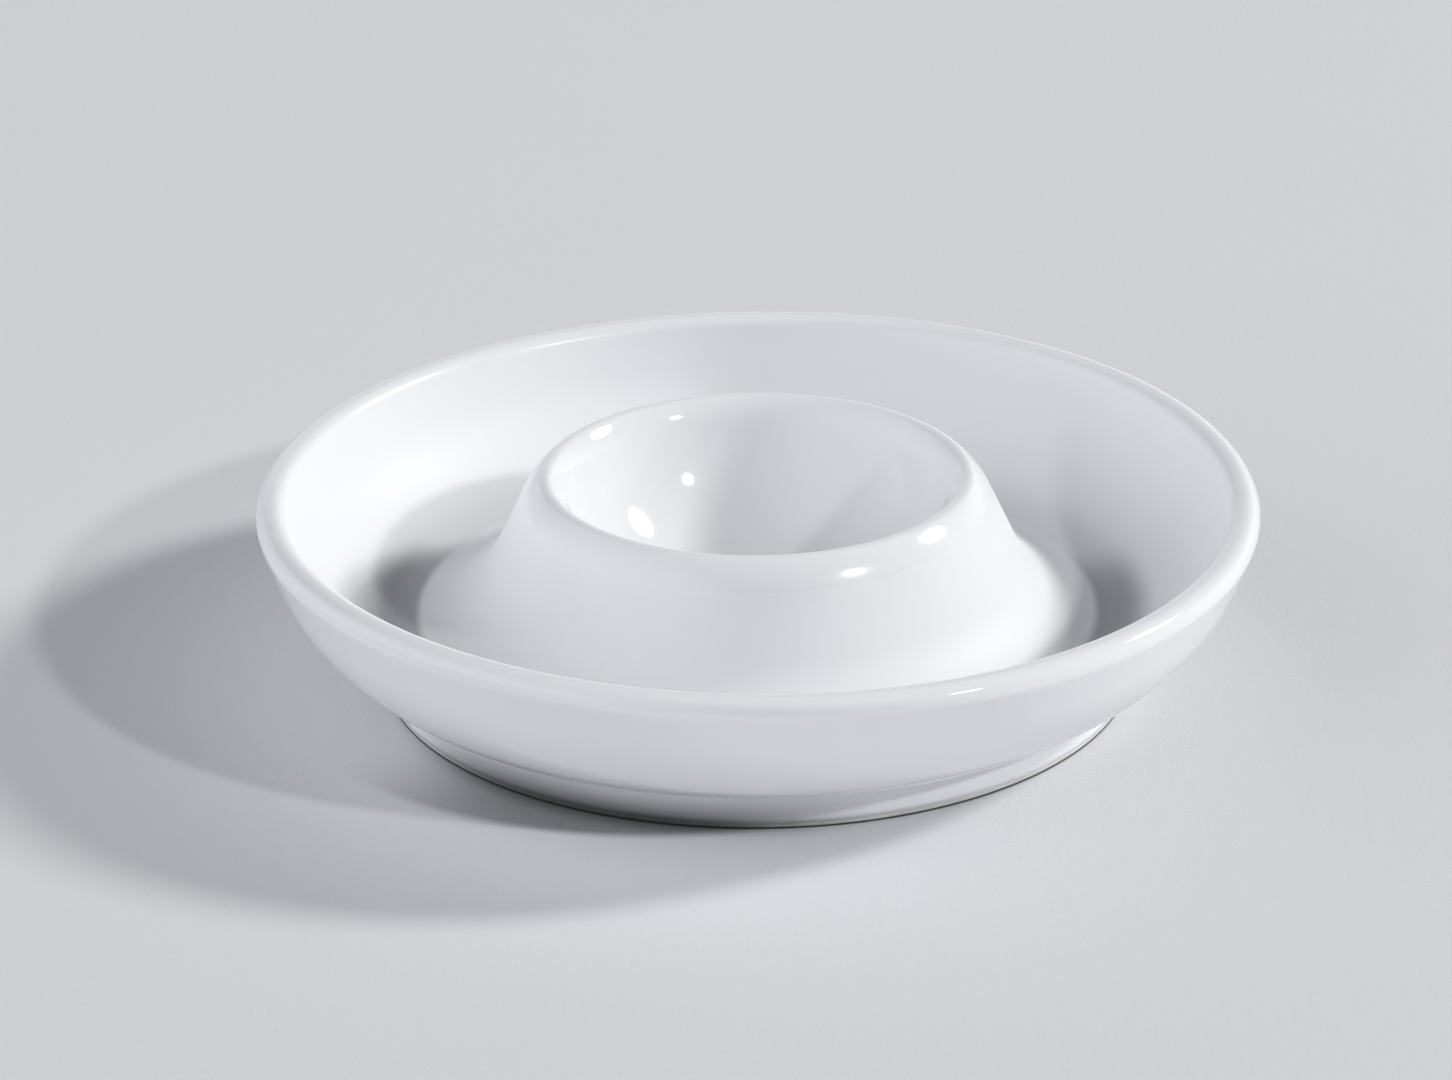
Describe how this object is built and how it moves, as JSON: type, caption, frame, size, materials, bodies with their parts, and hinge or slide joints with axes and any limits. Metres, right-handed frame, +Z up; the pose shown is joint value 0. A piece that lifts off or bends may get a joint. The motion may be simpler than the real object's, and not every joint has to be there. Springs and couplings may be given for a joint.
{
  "type": "egg cup",
  "caption": "Low egg cup cast in one with its own round saucer: a ball-shaped bowl on a flared skirt, a round trough about it and a foot ring below, white glazed.",
  "frame": {"origin": "on the upright axis, in the plane of the table that the foot ring stands on", "axes": "+Z up along the axis of the cup; the object is round, so +X and +Y are free; in the picture +X points to the right and +Y away from the camera"},
  "size_m": [0.12, 0.12, 0.0257],
  "materials": {
    "bare_porcelain": "fired unglazed porcelain, matt, shows only on the foot ring's standing face",
    "white_glaze": "clear glaze over white porcelain, high gloss",
    "underside_glaze": "clear glaze over white porcelain, gloss"
  },
  "bodies": {
    "root": {"porcelain_body": "bare_porcelain", "outer_glaze": "white_glaze", "underside_glaze": "underside_glaze"}
  },
  "joints": []
}
